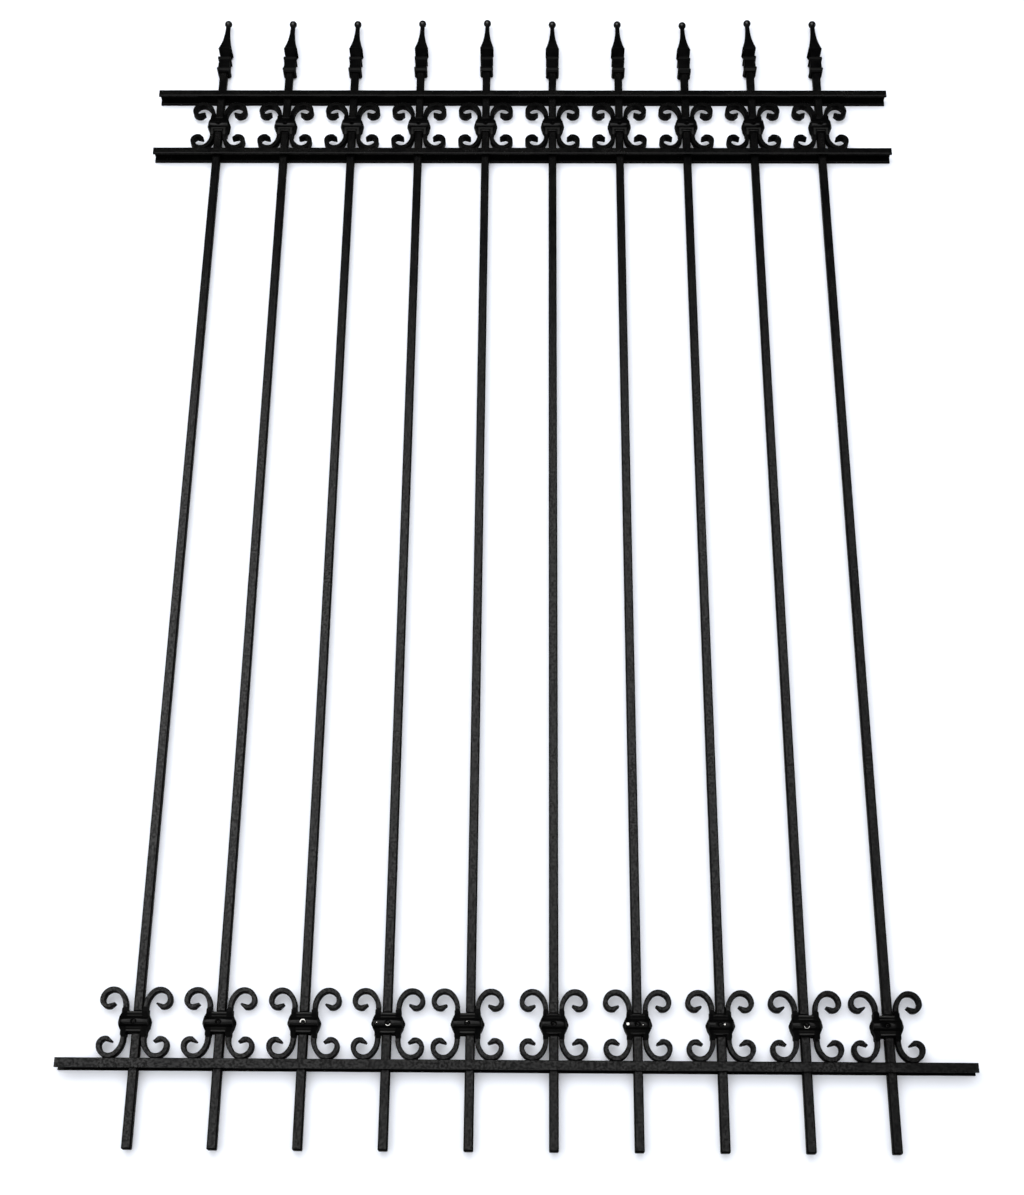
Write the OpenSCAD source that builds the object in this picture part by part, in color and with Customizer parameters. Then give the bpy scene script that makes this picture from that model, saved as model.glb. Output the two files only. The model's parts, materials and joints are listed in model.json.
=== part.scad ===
// Ornamental steel fence section: ten square pickets through three punched
// channel rails, a butterfly scroll set on every picket above the bottom rail
// and inside the top band, and a ball-tipped spear finial on every picket.
// Millimetres. X along the rails, Y front to back (front at -Y), Z up.

/* [Pickets] */
// Side of the square pickets
picket_w = 12.7; // [12:0.1:13.5]
// Distance between picket centres
pitch = 111.1; // [106:0.1:125]
// Picket length below the bottom rail
foot_l = 103; // [60:1:160]
// Picket showing between the top rail and the finial
stub_h = 42; // [20:1:80]

/* [Rails] */
// Depth of the channel, front to back
rail_d = 25.4; // [25:0.1:32]
// Height of the channel
rail_h = 12.7; // [11:0.1:16]
// Wall thickness of the channel
rail_t = 3.2; // [2:0.1:3.6]
// Corner radius of the channel's outer corners
rail_r = 1.2; // [0.6:0.1:1.8]
// Left rail end to the centre of the first picket
end_left = 103.5; // [70:0.5:150]
// Centre of the last picket to the right rail end
end_right = 112.7; // [70:0.1:150]
// Clear height between the bottom and the middle rail
span_h = 1470; // [900:1:1700]
// Clear height between the middle and the top rail
band_h = 106; // [100:1:130]
// Clearance round each picket in its punched hole
punch_fit = 0.15; // [0.1:0.05:0.3]

/* [Scrolls] */
// Height of one butterfly set
scroll_h = 94.6; // [92:0.1:97]
// Thickness of the scroll bars, seen from the front
bar_t = 6.5; // [5.8:0.05:6.8]
// Depth of the scroll bars, front to back
bar_d = 12.7; // [10:0.1:14]
// Outside radius where the bar leaves the collar
side_r = 30; // [27:0.1:33]
// Outside radius over the top of a curl
top_r = 17.2; // [16.2:0.1:18]
// Outside radius round the far side of a curl
curl_r = 11.9; // [11.4:0.1:12.6]
// Thickness of the bar at the foot of a curl, where it has begun to taper
curl_t = 5.5; // [4.8:0.1:6]
// Length of the drawn-out beak past the foot of a curl
beak_l = 9.8; // [8.6:0.1:10.4]
// Height of the beak's point above the foot of a curl
beak_h = 6.4; // [5.6:0.1:7]
// Width of the beak's blunt point
beak_w = 2.2; // [1.4:0.1:2.6]
// Turn of the bar before the top radius begins, degrees
side_turn = 46; // [40:0.1:50]
// Drop of the upper sets below the middle of the band
upper_drop = 2; // [0:0.5:4]
// Height of the lower sets above the bottom rail
lower_lift = 0.8; // [0:0.1:3]

/* [Collars] */
// Space between the bars in a wide lower collar
wide_gap = 20.6; // [20:0.1:22]
// Space between the bars in a narrow lower collar
narrow_gap = 14.8; // [14:0.1:18]
// Space between the bars in an upper collar
upper_gap = 14; // [13.8:0.1:18]
// Collar wall outside the bars
side_wall = 0.5; // [0.4:0.1:1.4]
// Collar wall in front of and behind the bars
face_wall = 1.8; // [1.4:0.1:2.2]
// Clearance in depth between the bars and the collar
bar_fit = 0.15; // [0.1:0.05:0.3]
// Height of the collar's body
collar_h = 27.6; // [25:0.1:30]
// Height of the collar over its ears
ear_h = 40; // [37:0.5:45]
// Stand-out of the point on each side of the collar
bulge = 5.3; // [3:0.1:7]
// Radius of the round band across the collar
band_r = 7; // [6:0.1:7.5]
// Depth of the round band in front of the picket's centre
band_reach = 12.2; // [11.6:0.1:12.5]
// Height of the round bead along each edge of the body
lip_h = 2.4; // [1.5:0.1:3]

/* [Set screws] */
// Diameter of the set screw
screw_d = 4.8; // [4:0.1:5.4]
// Radial clearance of the screw in the collar
screw_fit = 0.1; // [0.05:0.05:0.2]
// Mouth diameter of the countersunk hole
mouth_d = 8.8; // [7:0.1:10]
// Depth of the countersink
mouth_h = 1.9; // [1:0.1:2.2]
// Set-back of the screw from the face of the band
screw_back = 2.4; // [2.2:0.1:3]
// Hexagon socket of the screw, across flats
hex_af = 2.5; // [2:0.1:2.8]

/* [Finials] */
// Height of the finial
finial_h = 115.5; // [111:0.1:124]
// Diameter of the ball tip
ball_d = 12.5; // [10:0.1:14]
// Half width of the neck under the ball
neck_w = 3.4; // [2.8:0.1:5]
// Half width of the spear blade
blade_w = 11.3; // [10:0.1:13]
// Half width of the waist under the blade
waist_w = 6.8; // [6:0.1:8.4]
// Half width of the crown above the block
crown_w = 10.8; // [10:0.1:12]
// Half width of the block
block_w = 9.2; // [8.6:0.1:9.6]
// Half width of the foot below the block
foot_w = 10.9; // [10:0.1:12]
// Height of the foot
foot_h = 7.1; // [6:0.1:9]
// Height of the block between foot and crown
block_h = 17.8; // [17:0.1:20]
// Clearance of the picket in the socket
socket_fit = 0.15; // [0.1:0.05:0.25]
// Depth of the socket
socket_h = 26; // [18:1:28]
// Height of the crown over the block
crown_h = 6; // [5:0.1:7]
// Height of the waist between crown and blade
waist_h = 2.4; // [2:0.1:3]
// Height from the waist to the widest point of the blade
blade_h = 14.4; // [13:0.1:16]

/* [Hidden] */
$fn = 64;
COUNT = 10;
EPS = 1;                                  // over-reach of a cutter
TIP = 1.2;                                // half height of a collar's blunt point
SHOULDER = 0.42;                          // height of a collar's pointed side, in body heights
RUN_OUT = 0.2;                            // how far a band runs out past the bars, in bulges
EAR_WALL = 0.9;                           // collar wall at the end of an ear
CHAMFER = 2.3;                            // height of the slopes on a finial's block
DRAFT = 0.3;                              // lean of the block's faces off the upright
FLARE = 0.79;                             // width of a finial's foot at its lower end, in full widths
RIM = 2.6;                                // height of the upright rim above the flare
FLAT = 0.4;                               // height of the flat on a blade's widest point
NECK = 1.2;                               // length of the neck between blade and ball
HEEL = 0.38;                              // where a beak leaves the curl's round, in beak lengths
FOOT = 14;                                // where a beak meets the curl's inside, degrees past the lowest
BLUNT = 43;                               // lean of a beak's blunt end, degrees

rail_l = end_left + (COUNT - 1) * pitch + end_right;
collar_in = max(bar_d, picket_w) / 2 + bar_fit;   // half depth inside a collar
bottom_z = foot_l;
middle_z = bottom_z + rail_h + span_h;
top_z = middle_z + rail_h + band_h;
crest_z = top_z + rail_h;                 // top face of the top rail
finial_z = crest_z + stub_h;
picket_l = finial_z + socket_h - 3;     // short of the socket's end
lower_set_z = bottom_z + rail_h + lower_lift + scroll_h / 2;
upper_set_z = middle_z + rail_h + band_h / 2 - upper_drop;

// The lower collars were cast in two widths and are clamped a little off centre
WIDE = [true, true, true, true, true, false, false, false, true, true];
SHIFT = [-3.8, -1.9, 0.5, 1.5, -3.8, 0, 0.4, -0.5, 1.8, -2];
// The finials are not all pushed down equally far
SEAT = [0.1, -0.4, -0.3, 0.9, 2, -0.8, -0.7, -2.6, 1.9, -0.3];

function picket_x(i) = -rail_l / 2 + end_left + (i - 1) * pitch;
function lower_gap(i) = WIDE[i - 1] ? wide_gap : narrow_gap;
function play(i) = (lower_gap(i) - picket_w) / 2 - bar_fit;
function lower_x(i) = picket_x(i) + max(-play(i), min(play(i), SHIFT[i - 1]));

STEEL = [0.13, 0.13, 0.12];
CAST = [0.07, 0.07, 0.07];
SCREW = [0.30, 0.30, 0.30];

// ---- pickets and rails ----------------------------------------------------

module picket(i) {
  translate([picket_x(i), 0, 0])
    linear_extrude(picket_l) square(picket_w, center = true);
}

// Channel section in Y (across) and Z (up), open side down
module channel_section() {
  difference() {
    union() {
      translate([-rail_d / 2, 0]) square([rail_d, rail_h - rail_r]);
      translate([-rail_d / 2 + rail_r, rail_h - rail_r - EPS])
        square([rail_d - 2 * rail_r, rail_r + EPS]);
      for (s = [-1, 1])
        translate([s * (rail_d / 2 - rail_r), rail_h - rail_r]) circle(rail_r);
    }
    translate([-rail_d / 2 + rail_t, -EPS])
      square([rail_d - 2 * rail_t, rail_h - rail_t + EPS]);
  }
}

module rail(z) {
  hole = picket_w + 2 * punch_fit;
  difference() {
    translate([-rail_l / 2, 0, z]) rotate([90, 0, 90])
      linear_extrude(rail_l) channel_section();
    for (i = [1:COUNT]) translate([picket_x(i), 0, z + rail_h])
      cube([hole, hole, 3 * rail_t], center = true);
  }
}

// ---- butterfly scrolls ----------------------------------------------------

module ring(c, r) { translate(c) difference() { circle(r); circle(r - bar_t); } }

// Gives a flat outline the depth of the bar
module bar_solid() { linear_extrude(bar_d, center = true) children(); }

// Everything beyond the line on which the top radius takes over
module past_side(c) {
  far = c + 2 * side_r * [-cos(side_turn), sin(side_turn)];
  polygon([c, far, [4 * side_r, far[1]], [4 * side_r, c[1]]]);
}

// Upper half of the right-hand bar, lying flat; x = 0 faces the picket
module half_bar() {
  start = scroll_h / 2 - top_r - (side_r - top_r) * sin(side_turn);
  ca = [side_r, start];
  cb = ca + (side_r - top_r) * [-cos(side_turn), sin(side_turn)];
  cc = cb + [top_r - curl_r, 0];
  inner_r = curl_r - curl_t;
  ci = cb + [top_r - bar_t - inner_r, 0];
  point = [-beak_l, beak_h - curl_r];     // outer corner of the beak's blunt end
  blunt = point + beak_w * [sin(BLUNT), cos(BLUNT)];
  foot = ci - cc + inner_r * [sin(FOOT), -cos(FOOT)];
  heel = [-HEEL * beak_l, -sqrt(pow(curl_r, 2) - pow(HEEL * beak_l, 2))];
  bar_solid() difference() {
    intersection() { ring(ca, side_r); translate([0, start]) square(side_r); }
    past_side(ca);
  }
  bar_solid() intersection() {
    ring(cb, top_r);
    translate([0, cb[1]]) square(3 * top_r);
    past_side(ca);
  }
  bar_solid() difference() {
    intersection() {
      translate(cc) circle(curl_r);
      translate([cc[0], cc[1] - 2 * curl_r]) square(2 * curl_r);
    }
    translate(ci) circle(inner_r);
  }
  bar_solid() translate(cc) intersection() {
    circle(curl_r);
    polygon([[0, -2 * curl_r], [0, -(curl_r + inner_r) / 2], foot + (foot - blunt) / 8, blunt, point,
      heel + (heel - point) / 2]);
  }
  bar_solid() translate([0, -EPS]) square([bar_t, start + EPS]);
}

module scroll_bar(x, z, gap, side) {
  translate([x, 0, z]) rotate([90, 0, 0])
    mirror([side < 0 ? 1 : 0, 0, 0]) translate([gap / 2, 0, 0]) {
      half_bar();
      mirror([0, 1, 0]) half_bar();
    }
}

// ---- collars and set screws -----------------------------------------------

// Front outline in X and Z: pointed sides and a rounded ear over each bar end
module collar_front(gap) {
  half = gap / 2 + bar_t + side_wall;
  ear_w = bar_t + 2 * side_wall;
  square([2 * half, collar_h], center = true);
  for (s = [-1, 1]) {
    polygon([[0, -SHOULDER * collar_h], [s * half, -SHOULDER * collar_h], [s * (half + bulge), -TIP],
      [s * (half + bulge), TIP], [s * half, SHOULDER * collar_h], [0, SHOULDER * collar_h]]);
    translate([s * (half - ear_w / 2), 0]) {
      square([ear_w, ear_h - ear_w], center = true);
      for (e = [-1, 1]) translate([0, e * (ear_h - ear_w) / 2]) circle(ear_w / 2);
    }
  }
}

// Plan outline in X and Y: the pointed sides again
module collar_plan(gap) {
  half = gap / 2 + bar_t + side_wall;
  for (s = [-1, 1]) polygon([
    [0, -band_reach], [s * (half + RUN_OUT * bulge), -band_reach], [s * (half + bulge), -TIP],
    [s * (half + bulge), TIP], [s * (half + RUN_OUT * bulge), band_reach], [0, band_reach]]);
}

// Side outline in Y and Z: thinning ears and the round band
module collar_side() {
  half = collar_in + face_wall;
  ear = collar_in + EAR_WALL;
  square([2 * half, collar_h], center = true);
  polygon([[-ear, -ear_h / 2], [ear, -ear_h / 2], [half, -collar_h / 2], [half, collar_h / 2],
    [ear, ear_h / 2], [-ear, ear_h / 2], [-half, collar_h / 2], [-half, -collar_h / 2]]);
  for (s = [-1, 1]) translate([s * (band_reach - band_r), 0]) circle(band_r);
}

module collar(x, z, gap) {
  wide = gap + 2 * bar_t;
  face = collar_in + face_wall;
  translate([x, 0, z]) difference() {
    union() {
      intersection() {
        rotate([90, 0, 0]) linear_extrude(2 * rail_d, center = true) collar_front(gap);
        rotate([90, 0, 90]) linear_extrude(2 * wide, center = true) collar_side();
        linear_extrude(2 * ear_h, center = true) collar_plan(gap);
      }
      for (e = [-1, 1], f = [-1, 1])
        translate([0, f * face, e * (collar_h - lip_h) / 2]) rotate([0, 90, 0])
          cylinder(h = gap - 2 * side_wall, d = lip_h, center = true);
    }
    cube([wide, 2 * collar_in, 2 * ear_h], center = true);
    rotate([90, 0, 0]) cylinder(h = 2 * band_reach, d = screw_d + 2 * screw_fit);
    translate([0, -band_reach + mouth_h, 0]) rotate([90, 0, 0])
      cylinder(h = mouth_h, d1 = screw_d + 2 * screw_fit, d2 = mouth_d);
  }
}

module set_screw(x, z) {
  head = band_reach - screw_back;
  translate([x, -picket_w / 2, z]) rotate([90, 0, 0]) difference() {
    cylinder(h = head - picket_w / 2, d = screw_d);
    translate([0, 0, (head - picket_w / 2) / 2])
      cylinder(h = head, d = hex_af / cos(30), $fn = 6);
  }
}

// ---- finials --------------------------------------------------------------

// A square section all the way up, its faces in line with the picket's
module finial_outline() {
  z1 = foot_h;
  z2 = z1 + block_h;
  z3 = z2 + crown_h;
  z4 = z3 + waist_h;
  z5 = z4 + blade_h;                      // widest point of the blade
  z6 = finial_h - ball_d - NECK;          // top of the hollow flank
  rise = z6 - z5;
  run = blade_w - neck_w;
  flank_r = (pow(rise, 2) + pow(run, 2)) / (2 * run);
  difference() {
    for (s = [0, 1]) mirror([s, 0]) polygon([
      [0, 0], [FLARE * foot_w, 0], [foot_w, z1 - RIM], [foot_w, z1],
      [block_w + DRAFT, z1 + CHAMFER], [block_w - DRAFT, z2], [crown_w, z2 + CHAMFER],
      [crown_w - DRAFT, z3], [waist_w, z4], [blade_w, z5 - FLAT], [blade_w, z5], [blade_w, z6],
      [neck_w, z6], [neck_w, finial_h - ball_d / 2], [0, finial_h - ball_d / 2]]);
    for (s = [-1, 1]) translate([s * (neck_w + flank_r), z6]) circle(flank_r, $fn = 480);
  }
}

module finial(i) {
  bore = picket_w + 2 * socket_fit;
  translate([picket_x(i), 0, finial_z + SEAT[i - 1]]) difference() {
    union() {
      intersection() {
        rotate([90, 0, 0]) linear_extrude(4 * blade_w, center = true) finial_outline();
        rotate([90, 0, 90]) linear_extrude(4 * blade_w, center = true) finial_outline();
      }
      translate([0, 0, finial_h - ball_d / 2]) sphere(d = ball_d);
    }
    translate([0, 0, (socket_h - EPS) / 2])
      cube([bore, bore, socket_h + EPS], center = true);
  }
}

// ---- sub-parts ------------------------------------------------------------
module picket_01() { color(STEEL) picket(1); }
module picket_02() { color(STEEL) picket(2); }
module picket_03() { color(STEEL) picket(3); }
module picket_04() { color(STEEL) picket(4); }
module picket_05() { color(STEEL) picket(5); }
module picket_06() { color(STEEL) picket(6); }
module picket_07() { color(STEEL) picket(7); }
module picket_08() { color(STEEL) picket(8); }
module picket_09() { color(STEEL) picket(9); }
module picket_10() { color(STEEL) picket(10); }
module bottom_rail() { color(STEEL) rail(bottom_z); }
module middle_rail() { color(STEEL) rail(middle_z); }
module top_rail() { color(STEEL) rail(top_z); }
module finial_01() { color(CAST) finial(1); }
module finial_02() { color(CAST) finial(2); }
module finial_03() { color(CAST) finial(3); }
module finial_04() { color(CAST) finial(4); }
module finial_05() { color(CAST) finial(5); }
module finial_06() { color(CAST) finial(6); }
module finial_07() { color(CAST) finial(7); }
module finial_08() { color(CAST) finial(8); }
module finial_09() { color(CAST) finial(9); }
module finial_10() { color(CAST) finial(10); }
module lower_collar_01() { color(CAST) collar(lower_x(1), lower_set_z, lower_gap(1)); }
module lower_collar_02() { color(CAST) collar(lower_x(2), lower_set_z, lower_gap(2)); }
module lower_collar_03() { color(CAST) collar(lower_x(3), lower_set_z, lower_gap(3)); }
module lower_collar_04() { color(CAST) collar(lower_x(4), lower_set_z, lower_gap(4)); }
module lower_collar_05() { color(CAST) collar(lower_x(5), lower_set_z, lower_gap(5)); }
module lower_collar_06() { color(CAST) collar(lower_x(6), lower_set_z, lower_gap(6)); }
module lower_collar_07() { color(CAST) collar(lower_x(7), lower_set_z, lower_gap(7)); }
module lower_collar_08() { color(CAST) collar(lower_x(8), lower_set_z, lower_gap(8)); }
module lower_collar_09() { color(CAST) collar(lower_x(9), lower_set_z, lower_gap(9)); }
module lower_collar_10() { color(CAST) collar(lower_x(10), lower_set_z, lower_gap(10)); }
module upper_collar_01() { color(CAST) collar(picket_x(1), upper_set_z, upper_gap); }
module upper_collar_02() { color(CAST) collar(picket_x(2), upper_set_z, upper_gap); }
module upper_collar_03() { color(CAST) collar(picket_x(3), upper_set_z, upper_gap); }
module upper_collar_04() { color(CAST) collar(picket_x(4), upper_set_z, upper_gap); }
module upper_collar_05() { color(CAST) collar(picket_x(5), upper_set_z, upper_gap); }
module upper_collar_06() { color(CAST) collar(picket_x(6), upper_set_z, upper_gap); }
module upper_collar_07() { color(CAST) collar(picket_x(7), upper_set_z, upper_gap); }
module upper_collar_08() { color(CAST) collar(picket_x(8), upper_set_z, upper_gap); }
module upper_collar_09() { color(CAST) collar(picket_x(9), upper_set_z, upper_gap); }
module upper_collar_10() { color(CAST) collar(picket_x(10), upper_set_z, upper_gap); }

module lower_bars(side) {
  for (i = [1:COUNT]) scroll_bar(lower_x(i), lower_set_z, lower_gap(i), side);
}
module upper_bars(side) {
  for (i = [1:COUNT]) scroll_bar(picket_x(i), upper_set_z, upper_gap, side);
}
module lower_scrolls_left() { color(STEEL) lower_bars(-1); }
module lower_scrolls_right() { color(STEEL) lower_bars(1); }
module upper_scrolls_left() { color(STEEL) upper_bars(-1); }
module upper_scrolls_right() { color(STEEL) upper_bars(1); }
module lower_set_screws() {
  color(SCREW) for (i = [1:COUNT]) set_screw(lower_x(i), lower_set_z);
}
module upper_set_screws() {
  color(SCREW) for (i = [1:COUNT]) set_screw(picket_x(i), upper_set_z);
}

picket_01();
picket_02();
picket_03();
picket_04();
picket_05();
picket_06();
picket_07();
picket_08();
picket_09();
picket_10();
bottom_rail();
middle_rail();
top_rail();
finial_01();
finial_02();
finial_03();
finial_04();
finial_05();
finial_06();
finial_07();
finial_08();
finial_09();
finial_10();
lower_collar_01();
lower_collar_02();
lower_collar_03();
lower_collar_04();
lower_collar_05();
lower_collar_06();
lower_collar_07();
lower_collar_08();
lower_collar_09();
lower_collar_10();
upper_collar_01();
upper_collar_02();
upper_collar_03();
upper_collar_04();
upper_collar_05();
upper_collar_06();
upper_collar_07();
upper_collar_08();
upper_collar_09();
upper_collar_10();
lower_scrolls_left();
lower_scrolls_right();
upper_scrolls_left();
upper_scrolls_right();
lower_set_screws();
upper_set_screws();
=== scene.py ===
"""Studio scene for an ornamental fence section: its coats of paint, backdrop, lights and camera."""

import json
import math

import bpy
from mathutils import Matrix, Vector


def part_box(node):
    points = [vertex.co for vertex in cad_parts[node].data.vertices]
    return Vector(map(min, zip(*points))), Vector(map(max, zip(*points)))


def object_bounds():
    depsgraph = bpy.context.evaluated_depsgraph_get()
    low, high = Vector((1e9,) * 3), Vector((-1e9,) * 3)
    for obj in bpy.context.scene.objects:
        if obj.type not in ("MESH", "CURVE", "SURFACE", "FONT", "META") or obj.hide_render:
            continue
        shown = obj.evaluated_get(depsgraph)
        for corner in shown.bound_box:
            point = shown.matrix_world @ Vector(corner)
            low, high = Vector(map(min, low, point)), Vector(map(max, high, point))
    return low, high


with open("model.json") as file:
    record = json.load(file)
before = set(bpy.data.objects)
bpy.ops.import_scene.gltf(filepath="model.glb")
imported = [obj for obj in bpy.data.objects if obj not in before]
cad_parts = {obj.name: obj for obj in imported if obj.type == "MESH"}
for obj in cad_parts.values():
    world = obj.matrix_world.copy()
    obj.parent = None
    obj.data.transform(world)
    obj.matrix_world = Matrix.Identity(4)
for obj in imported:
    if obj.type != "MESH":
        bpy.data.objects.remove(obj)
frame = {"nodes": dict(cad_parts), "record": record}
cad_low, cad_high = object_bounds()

# Lengths are in metres, and colours are linear RGBA.

# ---- Edges: the radius that the coat leaves on each kind of piece ----
WELD_DISTANCE = 1e-6
BEVEL_ANGLE = math.radians(32)
# pieces whose rounded edges get the dark coat of painted shade
EDGES_WITH_PAINTED_SHADE = ("picket", "bottom_rail", "lower_scrolls", "upper_scrolls")
BEVELS = {  # start of the node's name: (radius, segments)
    "picket": (0.0017, 4),
    "bottom_rail": (0.0009, 3),
    "middle_rail": (0.0009, 3),
    "top_rail": (0.0009, 3),
    "finial": (0.0005, 2),
    "lower_collar": (0.0005, 2),
    "upper_collar": (0.0005, 2),
    "lower_scrolls": (0.0013, 3),
    "upper_scrolls": (0.0013, 3),
    "lower_set_screws": (0.00012, 1),
    "upper_set_screws": (0.00012, 1),
}

# ---- Colours: the dark and the pale end of each coat's clouds, dust, and bare metal whose near-white is a painted glint ----
POWDER_BLACKS = (0.0010, 0.0010, 0.0011, 1), (0.0024, 0.0023, 0.0022, 1)
# painted shade: the dark coat on the rounded edges
CORNER_SHADE_BLACKS = (0.0008, 0.0008, 0.0008, 1), (0.0022, 0.0021, 0.0020, 1)
COLLAR_BLACKS = (0.0008, 0.0008, 0.0009, 1), (0.0018, 0.0018, 0.0018, 1)
FINIAL_BLACKS = (0.0012, 0.0012, 0.0013, 1), (0.0026, 0.0026, 0.0026, 1)
SCREW_BLACKS = (0.004, 0.004, 0.004, 1), (0.03, 0.03, 0.03, 1)
POWDER_DUST = (0.16, 0.15, 0.14, 1)
COLLAR_DUST = (0.10, 0.095, 0.09, 1)
# painted glint: the near-white of bare metal where the coat is rubbed off
BARE_METAL_GLINT = (0.85, 0.84, 0.80, 1)

# ---- Gloss: specular level, where 0.5 is that of plain paint ----
POWDER_GLOSS = 0.28
# painted shade: the gloss of the dull line in the crevices next to the lower collars
CREVICE_SHADE_GLOSS = 0.02
# painted shade: the low gloss of the dark edge coat
CORNER_SHADE_GLOSS = 0.06
COLLAR_GLOSS, BAND_GLOSS = 0.03, 0.22
FINIAL_GLOSS, SLOPE_GLOSS, BALL_GLOSS = 0.05, 0.0, 1.0

# ---- Roughness: the two ends of the range that each coat's clouds drift through ----
POWDER_ROUGHNESS = 0.20, 0.26
CORNER_ROUGHNESS = 0.28, 0.36
COLLAR_ROUGHNESS = 0.13, 0.17
FINIAL_ROUGHNESS, BALL_ROUGHNESS = 0.30, 0.17
BLACKENED_ROUGHNESS, WORN_ROUGHNESS = 0.42, 0.24

# ---- Noise: cells in a metre ----
POWDER_DRIFT, POWDER_CLOUDS, POWDER_WAVES = 5, 34, 90
POWDER_DUST_CELLS, POWDER_MOTTLE, POWDER_SPARKLE, POWDER_GRAIN = 260, 300, 330, 820
CORNER_CLOUDS = 120
CASTING_CLOUDS, CASTING_LUMPS, COLLAR_DUST_CELLS, CASTING_GRAIN = 60, 160, 300, 620
SCREW_CLOUDS, SCREW_GRAIN = 420, 900

# ---- Painted highlight: a paler band along the lower edge of the upper rails' flanges ----
RAILS_WITH_LIP_HIGHLIGHT = ("middle_rail", "top_rail")
LIP_HIGHLIGHT_MIDDLE = 0.0017  # where the painted highlight sits, above the flange's lower edge
LIP_HIGHLIGHT_HALF = 0.0012  # half the height of the painted highlight
LIP_HIGHLIGHT_GREY = (0.011, 0.011, 0.011, 1)

# ---- Painted shade: a dull, darker line on the bars in the crevices above and below the lower collars ----
COLLAR_HALF = 0.0138  # half the height of a collar's body
CREVICE_SHADE_HALF = 0.0010  # half the height of the dull line of painted shade

# ---- Collars ----
COLLAR_FLAT = 0.0083  # depth of a collar's flats in front of the picket's centre
BAND_START, BAND_FULL = 0.0002, 0.0009  # how far out of the flats the polish sets in and is full
WIDE_COLLAR = 0.042  # collars wider than this hold the bars off the picket, and get the full painted highlights on their beads
NARROW_HIGHLIGHT_SHARE = 0.3  # how much of the painted highlights the beads of the narrow lower collars get
# Painted highlights as paler beads and ear faces, from the collar's middle: X, half width, Z, half
# height, grey
LOWER_PAINTED_HIGHLIGHTS = (
    (0, 0.0095, 0.0121, 0.0007, 0.028),
    (0, 0.0095, 0.0083, 0.0004, 0.013),
    (0, 0.0100, -0.0078, 0.0010, 0.005),
    (0, 0.0095, -0.0114, 0.0006, 0.028),
)
UPPER_PAINTED_HIGHLIGHTS = (
    (0, 0.0118, -0.0078, 0.0010, 0.015),
    (-0.0102, 0.0014, -0.0140, 0.0060, 0.013),
    (0.0102, 0.0014, -0.0140, 0.0060, 0.013),
    (0, 0.0070, -0.0128, 0.0007, 0.012),
)
LINE_BLUR = 0.0005  # over which a line fades
# Painted glints, near-white on bare metal where the driver rubbed the coat off: each patch's offset from
# the collar's middle in X and Z, then the ring's direction and spread in degrees and its inner and outer
# radius
WORN_GLINTS = {
    "lower_collar_03": [(-0.0010, 0.0006, 90, 112, 0.0023, 0.0037)],
    "lower_collar_04": [(0, -0.0008, -78, 72, 0.0025, 0.0034), (-0.0146, 0, 0, 180, 0, 0.0006)],
    "lower_collar_05": [(0, 0, 110, 30, 0.0022, 0.0029)],
    "lower_collar_07": [(-0.0133, 0, 0, 180, 0, 0.0019), (0.0070, -0.0010, 0, 180, 0, 0.0005)],
    "lower_collar_08": [(0.0048, 0.0001, 0, 180, 0, 0.0011)],
    "lower_collar_09": [(0, -0.0004, -90, 75, 0.0036, 0.0040)],
}

# ---- Finials ----
BLADE_WIDEST = cad_high.z - 0.0698  # where the blade is widest, and below it slopes in
SLOPE_HALF = 0.0070  # half the height of the slope
FINIAL_PAINTED_HIGHLIGHTS = (  # painted highlights as paler lines: how far below the widest point, half height, grey
    (0.0197, 0.0018, 0.007),
    (0.0432, 0.0016, 0.010),
)
BALL_START = cad_high.z - 0.018  # the ball's shine sets in here
BALL_FULL = cad_high.z - 0.012  # and is full from here up

# ---- Sheet and floor ----
SHEET_GAP = 0.0006
SHEET_HALF_WIDTH = 6.0
SHEET_BELOW = 3.0
SHEET_ABOVE = 6.0
FLOOR_SIDE, FLOOR_FRONT, FLOOR_BACK = 6.0, 3.2, 6.0
SHEET_WHITE = (0.83, 0.86, 0.93, 1)
SHEET_GLOW = 0.10
SHEET_IN_REFLECTIONS = (0.08, 0.08, 0.08, 1)
FLOOR_WHITE = (0.32, 0.32, 0.32, 1)
FLOOR_GLOW = 0.60

# ---- Lights ----
FRONT_LIGHTS = (  # they face straight back: name, place, width, height, radiance, seen in reflections
    ("key_left", (-1.75, -3.6, 2.21), 1.9, 2.38, 2.35, True),
    ("key_right", (0.16, -3.6, 2.21), 1.92, 2.38, 1.65, True),
    ("low_left", (-1.75, -3.6, 0.255), 1.9, 1.01, 1.75, True),
    ("low_right", (0.16, -3.6, 0.255), 1.92, 1.01, 1.25, True),
    ("front_fill", (-0.6, -3.4, 1.5), 8.0, 8.0, 1.58, False),
    ("ground_bounce", (-0.6, -3.6, -1.75), 4.0, 1.6, 0.5, True),
)
BACK_LIGHTS = (("left_back", (-3.4, 2.4, 1.2)), ("right_back", (3.4, 2.4, 1.2)))
BACK_WIDTH, BACK_HEIGHT, BACK_RADIANCE = 2.0, 3.0, 2.0
ROOM_GREY = (0.04, 0.04, 0.04, 1)  # what reflections see past the lights
BACKDROP_WHITE = (0.93, 0.93, 0.93, 1)  # what the camera sees past the sheet

# ---- Camera: close to the section and below its feet, tilted up, with angles in radians ----
LENS_MM = 55.72  # on Blender's 36 mm sensor
CAMERA_PLACE = (0.0207, -2.4801, -0.3373)
CAMERA_TILT = 0.42648
CAMERA_PAN = 0.01221
CAMERA_ROLL = 0.00859


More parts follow.
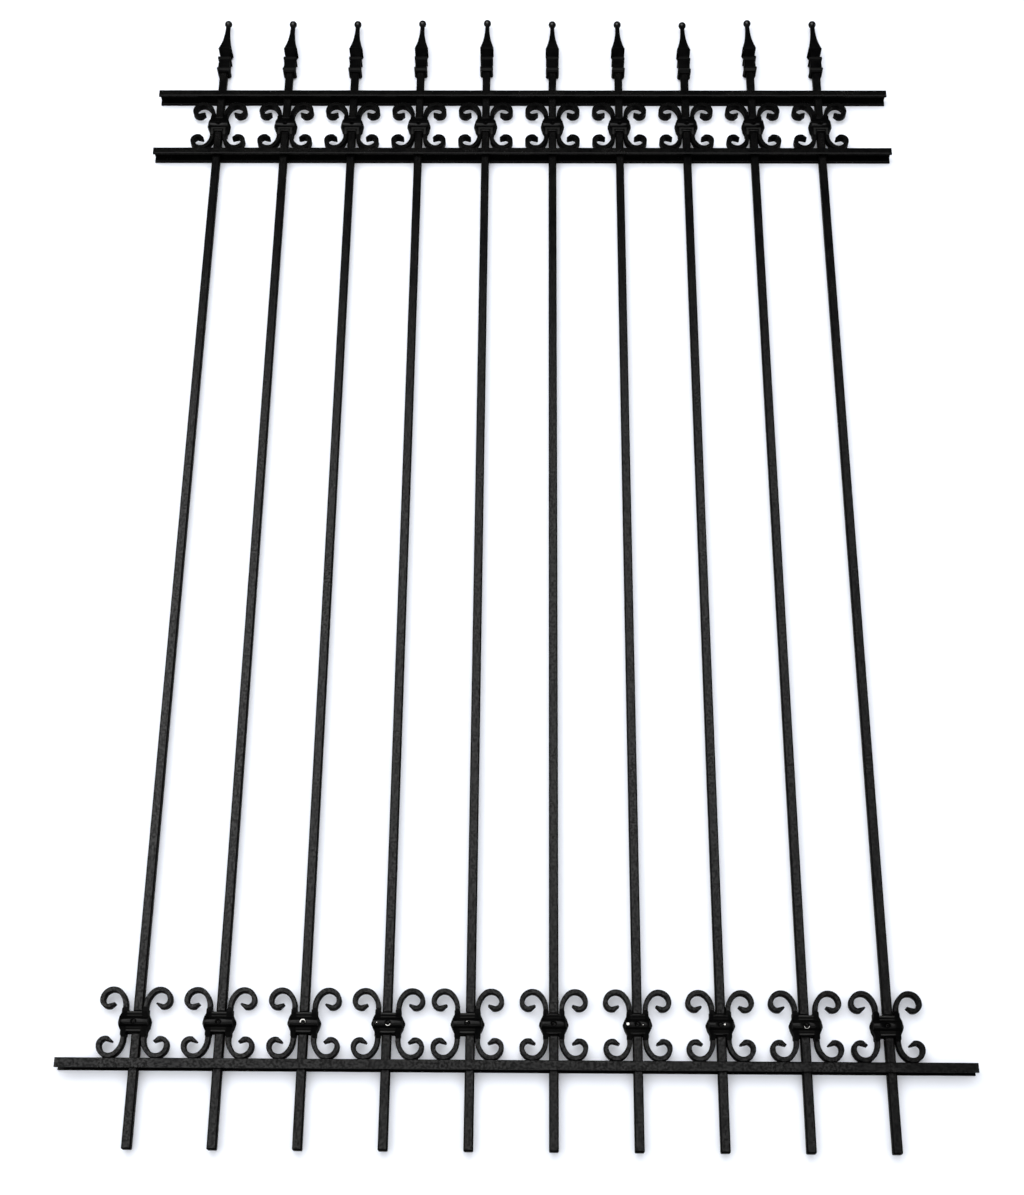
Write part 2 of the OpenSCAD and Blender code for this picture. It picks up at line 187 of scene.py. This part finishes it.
class Tree:
    """The node tree of a material or world, and short calls that add a node and return its output."""

    def __init__(self, owner):
        owner.use_nodes = True
        self.owner = owner
        self.nodes = owner.node_tree.nodes
        self.links = owner.node_tree.links

    def put(self, socket, value):
        """Links value to socket if it is a node's output, and sets it there if it is a constant."""
        if isinstance(value, bpy.types.NodeSocket):
            self.links.new(value, socket)
        else:
            socket.default_value = value

    def add(self, kind, output, inputs=None):
        """The named output of a new node; inputs gives values for sockets, by name or number."""
        node = self.nodes.new("ShaderNode" + kind)
        for key, value in (inputs or {}).items():
            self.put(node.inputs[key], value)
        return node.outputs[output]

    def math(self, operation, *values):
        node = self.nodes.new("ShaderNodeMath")
        node.operation = operation
        for socket, value in zip(node.inputs, values):
            self.put(socket, value)
        return node.outputs["Value"]

    def plus(self, first, second):
        return self.math("ADD", first, second)

    def minus(self, first, second):
        return self.math("SUBTRACT", first, second)

    def times(self, first, second):
        return self.math("MULTIPLY", first, second)

    def mixed(self, share, first, second):
        """A colour between first and second; each is a colour or another node's output."""
        node = self.nodes.new("ShaderNodeMix")
        node.data_type = "RGBA"
        self.put(node.inputs["Factor"], share)
        for socket, value in zip([s for s in node.inputs if s.type == "RGBA"], (first, second)):
            self.put(socket, value)
        return next(s for s in node.outputs if s.type == "RGBA")


class Finish(Tree):
    """One procedural material on the standard shader, and short calls for its textures."""

    def __init__(self, name, metallic=0.0, specular=0.5):
        super().__init__(bpy.data.materials.new(name))
        self.shader = self.nodes["Principled BSDF"]
        self.shader.inputs["Metallic"].default_value = metallic
        self.shader.inputs["Specular IOR Level"].default_value = specular
        self.place = self.add("TexCoord", "Object")

    def axes(self):
        """The object's X, Y and Z coordinates."""
        parts = self.add("SeparateXYZ", "X", {"Vector": self.place}).node
        return [parts.outputs[axis] for axis in "XYZ"]

    def noise(self, scale, detail):
        """Cloudy noise, with scale cells in a metre and detail finer layers on them."""
        return self.add("TexNoise", "Fac", {"Scale": scale, "Detail": detail, "Vector": self.place})

    def specks(self, scale, radius, tone):
        """1 inside round specks, radius cells wide, in the cells whose random colour is under tone."""
        cells = self.add("TexVoronoi", "Distance", {"Scale": scale, "Vector": self.place}).node
        chosen = self.math("LESS_THAN", cells.outputs["Color"], tone)
        return self.times(chosen, self.math("LESS_THAN", cells.outputs["Distance"], radius))

    def fitted(self, value, low, high, to_low, to_high):
        """value, with low..high stretched to to_low..to_high and clamped there."""
        span = {"From Min": low, "From Max": high, "To Min": to_low, "To Max": to_high}
        return self.add("MapRange", "Result", {"Value": value, **span})

    def away(self, value, middle):
        """How far value is from middle."""
        return self.math("ABSOLUTE", self.minus(value, middle))

    def near(self, value, middle, half):
        """1 where value is within half of middle, fading to 0 past it."""
        return self.fitted(self.away(value, middle), half, half + LINE_BLUR, 1, 0)

    def clouded(self, clouds, dark, pale):
        """A colour that drifts between dark and pale with the clouds."""
        return self.mixed(self.fitted(clouds, 0.35, 0.65, 0, 1), dark, pale)

    def drifting(self, clouds, low, high):
        """A number that drifts between low and high with the clouds."""
        return self.fitted(clouds, 0.3, 0.7, low, high)

    def relief(self, scale, distance, strength, under=None):
        """Normals roughened by noise that is distance high, on top of those of another relief."""
        inputs = {"Height": self.noise(scale, 2), "Distance": distance, "Strength": strength}
        if under is not None:
            inputs["Normal"] = under
        return self.add("Bump", "Normal", inputs)

    def cast_skin(self, strength):
        """The skin of a casting under its coat: shallow lumps, and a fine grain on them."""
        lumps = self.relief(CASTING_LUMPS, 0.0004, strength)
        return self.relief(CASTING_GRAIN, 0.0001, 0.3, lumps)

    def done(self, colour, roughness, normal, specular=None):
        """The finished material. Without specular, the level that Finish was given holds."""
        inputs = {"Base Color": colour, "Roughness": roughness, "Normal": normal}
        if specular is not None:
            inputs["Specular IOR Level"] = specular
        for name, value in inputs.items():
            self.put(self.shader.inputs[name], value)
        return self.owner


def warm(grey):
    """A grey with slightly less blue in it."""
    return (grey, grey, 0.97 * grey, 1)


def powder_coat(name, lip_highlight=False):
    """Fine-textured satin black powder coat: cloudy gloss, sparkling grain, a little dust, and painted
    shade as a dull, darker line in the crevices next to the lower collars.

    With lip_highlight, a painted highlight makes it paler along the lower edge of the upper rails'
    flanges."""
    coat = Finish(name)
    clouds = coat.noise(POWDER_CLOUDS, 3)
    z = coat.axes()[2]
    colour = coat.clouded(clouds, *POWDER_BLACKS)
    colour = coat.mixed(coat.specks(POWDER_DUST_CELLS, 0.16, 0.02), colour, POWDER_DUST)
    # painted highlight: a paler band along the lower edge of each upper rail's flange
    if lip_highlight:
        for rail in RAILS_WITH_LIP_HIGHLIGHT:
            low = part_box(rail)[0].z
            on_lip_highlight = coat.math("LESS_THAN", coat.away(z, low + LIP_HIGHLIGHT_MIDDLE), LIP_HIGHLIGHT_HALF)
            colour = coat.mixed(on_lip_highlight, colour, LIP_HIGHLIGHT_GREY)
    drift = coat.drifting(coat.noise(POWDER_DRIFT, 2), -0.02, 0.02)
    mottle = coat.drifting(coat.noise(POWDER_MOTTLE, 2), -0.03, 0.03)
    roughness = coat.plus(coat.drifting(clouds, *POWDER_ROUGHNESS), coat.plus(drift, mottle))
    collar_low, collar_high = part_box("lower_collar_01")
    height = coat.away(z, (collar_low.z + collar_high.z) / 2)
    # painted shade: the gloss drops to a dull, darker line in the crevices next to the lower collars
    crevice_shade = coat.near(height, COLLAR_HALF + CREVICE_SHADE_HALF, CREVICE_SHADE_HALF)
    sparkle = coat.fitted(coat.noise(POWDER_SPARKLE, 1), 0.41, 0.59, 0.45, 1.55)
    specular = coat.times(coat.fitted(crevice_shade, 0, 1, POWDER_GLOSS, CREVICE_SHADE_GLOSS), sparkle)
    waves = coat.relief(POWDER_WAVES, 0.0006, 0.25)
    return coat.done(colour, roughness, coat.relief(POWDER_GRAIN, 0.0002, 0.5, waves), specular)


def edge_shade_coat():
    """Painted shade on the rounded corners: the same coat, dark and with little gloss, so that the edges
    show as dark outlines.
    """
    coat = Finish("thin_coat_on_corners", specular=CORNER_SHADE_GLOSS)
    clouds = coat.noise(CORNER_CLOUDS, 3)
    colour = coat.mixed(clouds, *CORNER_SHADE_BLACKS)
    roughness = coat.drifting(clouds, *CORNER_ROUGHNESS)
    return coat.done(colour, roughness, coat.relief(POWDER_GRAIN, 0.0002, 0.4))


def collar_coat(name, middle, lines, highlight_share, patches):
    """Black coat on one collar, polished on the band that stands out of its flats.

    lines are its painted highlights, paler beads and ear faces, whose grey counts times
    highlight_share. patches are painted glints: near-white bare metal where the driver rubbed it bare."""
    coat = Finish("coat_on_" + name)
    clouds = coat.noise(CASTING_CLOUDS, 3)
    x, y, z = coat.axes()
    colour = coat.clouded(clouds, *COLLAR_BLACKS)
    # painted highlights: paler beads and ear faces
    for dx, half_x, dz, half_z, grey in lines:
        line = coat.times(coat.near(x, middle.x + dx, half_x), coat.near(z, middle.z + dz, half_z))
        colour = coat.mixed(coat.times(line, highlight_share), colour, warm(grey))
    colour = coat.mixed(coat.specks(COLLAR_DUST_CELLS, 0.16, 0.03), colour, COLLAR_DUST)
    # painted glints: near-white patches of bare metal where the driver rubbed the coat off
    for dx, dz, *arc in patches:
        off_x, off_z = coat.minus(x, middle.x + dx), coat.minus(z, middle.z + dz)
        colour = coat.mixed(worn_glint_arc(coat, off_x, off_z, *arc), colour, BARE_METAL_GLINT)
    depth = coat.math("ABSOLUTE", y)
    start, full = COLLAR_FLAT + BAND_START, COLLAR_FLAT + BAND_FULL
    polish = coat.fitted(depth, start, full, COLLAR_GLOSS, BAND_GLOSS)
    roughness = coat.drifting(clouds, *COLLAR_ROUGHNESS)
    return coat.done(colour, roughness, coat.cast_skin(0.15), polish)


def worn_glint_arc(coat, off_x, off_z, towards, spread, inner, outer):
    """1 on part of a ring; off_x and off_z are the distances from its centre.

    The part lies within spread degrees of the direction towards, which is in degrees from +X."""
    away = coat.math("SQRT", coat.plus(coat.math("POWER", off_x, 2), coat.math("POWER", off_z, 2)))
    turn = math.radians(towards)
    along = coat.plus(coat.times(off_x, math.cos(turn)), coat.times(off_z, math.sin(turn)))
    facing = coat.math("GREATER_THAN", along, coat.times(away, math.cos(math.radians(spread))))
    outside, inside = coat.math("GREATER_THAN", away, inner), coat.math("LESS_THAN", away, outer)
    return coat.times(facing, coat.times(outside, inside))


def finial_coat():
    """A dull coat on the finials: no gloss on the slopes under the blades, a shine on the balls, and
    painted highlights as paler bands below the blades.
    """
    coat = Finish("coated_finial_casting")
    height = coat.axes()[2]
    colour = coat.clouded(coat.noise(CASTING_CLOUDS, 3), *FINIAL_BLACKS)
    # painted highlights: paler bands below the blade's widest point
    for drop, half, grey in FINIAL_PAINTED_HIGHLIGHTS:
        colour = coat.mixed(coat.near(height, BLADE_WIDEST - drop, half), colour, warm(grey))
    ball = coat.fitted(height, BALL_START, BALL_FULL, 0, 1)
    slope = coat.near(height, BLADE_WIDEST - SLOPE_HALF, SLOPE_HALF)
    shine = coat.fitted(ball, 0, 1, 0, BALL_GLOSS - FINIAL_GLOSS)
    specular = coat.plus(coat.fitted(slope, 0, 1, FINIAL_GLOSS, SLOPE_GLOSS), shine)
    roughness = coat.fitted(ball, 0, 1, FINIAL_ROUGHNESS, BALL_ROUGHNESS)
    return coat.done(colour, roughness, coat.cast_skin(0.3), specular)


def screw_steel():
    """Blackened steel, with the black worn off in patches."""
    steel = Finish("blackened_steel", metallic=1.0)
    worn = steel.fitted(steel.noise(SCREW_CLOUDS, 3), 0.46, 0.62, 0, 1)
    colour = steel.mixed(worn, *SCREW_BLACKS)
    roughness = steel.fitted(worn, 0, 1, BLACKENED_ROUGHNESS, WORN_ROUGHNESS)
    return steel.done(colour, roughness, steel.relief(SCREW_GRAIN, 0.0001, 0.3))


def soften_edges(node, corners):
    """Rounds the node's edges by its kind's radius; corners is the coat of painted shade for the rounded
    dark edges.
    """
    radius, segments = next(size for start, size in BEVELS.items() if node.name.startswith(start))
    weld = node.modifiers.new("weld", "WELD")
    weld.merge_threshold = WELD_DISTANCE
    bevel = node.modifiers.new("bevel", "BEVEL")
    bevel.width = radius
    bevel.segments = segments
    bevel.limit_method = "ANGLE"
    bevel.angle_limit = BEVEL_ANGLE
    bevel.harden_normals = True
    # painted shade: the rounded edges of these pieces get the dark coat
    if node.name.startswith(EDGES_WITH_PAINTED_SHADE):
        node.data.materials.append(corners)
        bevel.material = len(node.material_slots) - 1


def dress_nodes():
    """Gives every CAD node its coat and the small radius that its real edges have."""
    coats = {
        "powder_coat": powder_coat("satin_powder_coat"),
        "coated_casting": finial_coat(),
        "screw_steel": screw_steel(),
    }
    # the coat with the painted lip highlight, and the dark coat of painted shade for rounded edges
    highlit_coat, corners = powder_coat("lipped_powder_coat", lip_highlight=True), edge_shade_coat()
    for subpart in frame["record"]["subparts"]:
        name = subpart["node"]
        node = frame["nodes"][name]
        low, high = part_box(name)
        finish = coats[subpart["material_slot"]]
        if "collar" in name:
            upper = name.startswith("upper")
            # full painted highlights on the upper and the wide collars, a share of them on the narrow
            # lower ones
            highlight_share = 1.0 if upper or high.x - low.x > WIDE_COLLAR else NARROW_HIGHLIGHT_SHARE
            lines = UPPER_PAINTED_HIGHLIGHTS if upper else LOWER_PAINTED_HIGHLIGHTS
            finish = collar_coat(name, (low + high) / 2, lines, highlight_share, WORN_GLINTS.get(name, ()))
        elif name in RAILS_WITH_LIP_HIGHLIGHT:
            finish = highlit_coat
        for slot in node.material_slots:
            slot.material = finish
        soften_edges(node, corners)


def one_sided(name, matt_colour, glow):
    """A matt surface that is only there when seen from its front, and is pale only to the camera."""
    tree = Tree(bpy.data.materials.new(name))
    tree.nodes.clear()
    seen = tree.add("LightPath", "Is Camera Ray")
    matt = tree.add("BsdfDiffuse", "BSDF", {"Color": tree.mixed(seen, SHEET_IN_REFLECTIONS, matt_colour)})
    lit = tree.add("Emission", "Emission", {"Strength": tree.times(seen, glow)})
    front = tree.add("AddShader", "Shader", {0: matt, 1: lit})
    behind = tree.add("NewGeometry", "Backfacing")
    clear = tree.add("BsdfTransparent", "BSDF")
    surface = tree.add("MixShader", "Shader", {"Fac": behind, 1: front, 2: clear})
    tree.put(tree.nodes.new("ShaderNodeOutputMaterial").inputs["Surface"], surface)
    return tree.owner


def stage_plane(name, corners, material):
    """A four-cornered piece of the studio, which casts no shadow."""
    mesh = bpy.data.meshes.new(name)
    mesh.from_pydata(corners, [], [(0, 1, 2, 3)])
    mesh.materials.append(material)
    plane = bpy.data.objects.new(name, mesh)
    bpy.context.scene.collection.objects.link(plane)
    plane.visible_shadow = False
    return plane


def build_stage():
    """A white sheet close behind the section, and a floor at its feet that is seen only from above."""
    back = cad_high.y + SHEET_GAP
    low, high = cad_low.z - SHEET_BELOW, cad_high.z + SHEET_ABOVE
    w = SHEET_HALF_WIDTH
    stage_plane(
        "sheet", [(-w, back, low), (w, back, low), (w, back, high), (-w, back, high)],
        one_sided("sheet_white", SHEET_WHITE, SHEET_GLOW),
    )
    x, front, rear, z = FLOOR_SIDE, -FLOOR_FRONT, FLOOR_BACK, cad_low.z
    floor = stage_plane(
        "floor", [(-x, front, z), (x, front, z), (x, rear, z), (-x, rear, z)],
        one_sided("floor_white", FLOOR_WHITE, FLOOR_GLOW),
    )
    floor.visible_diffuse = False
    floor.visible_glossy = False


def area_light(name, place, target, width, height, radiance, shine=True):
    """A rectangular light at place that faces target; without shine, reflections don't show it."""
    light = bpy.data.lights.new(name, "AREA")
    light.shape = "RECTANGLE"
    light.size, light.size_y = width, height
    light.energy = radiance * width * height * math.pi
    lamp = bpy.data.objects.new(name, light)
    lamp.location = place
    lamp.rotation_mode = "QUATERNION"
    lamp.rotation_quaternion = (Vector(target) - Vector(place)).to_track_quat("-Z", "Y")
    lamp.visible_camera = False
    lamp.visible_glossy = shine
    bpy.context.scene.collection.objects.link(lamp)


def build_lights():
    """Windows and fill in front, a bounce from the ground, and two lights that rim it from behind."""
    for name, place, width, height, radiance, shine in FRONT_LIGHTS:
        area_light(name, place, (place[0], 0, place[2]), width, height, radiance, shine)
    middle = (0, 0, cad_high.z / 2)
    for name, place in BACK_LIGHTS:
        area_light(name, place, middle, BACK_WIDTH, BACK_HEIGHT, BACK_RADIANCE)


def build_world():
    """A dark room, which looks white to the camera."""
    world = Tree(bpy.data.worlds.new("studio"))
    bpy.context.scene.world = world.owner
    room = world.nodes["Background"]
    room.inputs["Color"].default_value = ROOM_GREY
    pale = world.add("Background", "Background", {"Color": BACKDROP_WHITE})
    seen = world.add("LightPath", "Is Camera Ray")
    both = world.add("MixShader", "Shader", {"Fac": seen, 1: room.outputs["Background"], 2: pale})
    world.put(world.nodes["World Output"].inputs["Surface"], both)


def build_camera():
    """The photograph's camera: turned by the pan, tilted up from level, then rolled."""
    data = bpy.data.cameras.new("camera")
    data.lens = LENS_MM
    camera = bpy.data.objects.new("camera", data)
    bpy.context.scene.collection.objects.link(camera)
    pan = Matrix.Rotation(CAMERA_PAN, 4, "Z")
    tilt = Matrix.Rotation(math.pi / 2 + CAMERA_TILT, 4, "X")
    roll = Matrix.Rotation(CAMERA_ROLL, 4, "Z")
    camera.matrix_world = Matrix.Translation(CAMERA_PLACE) @ pan @ tilt @ roll
    bpy.context.scene.camera = camera


bpy.context.scene.view_settings.view_transform = "Standard"
dress_nodes()
build_stage()
build_lights()
build_world()
build_camera()
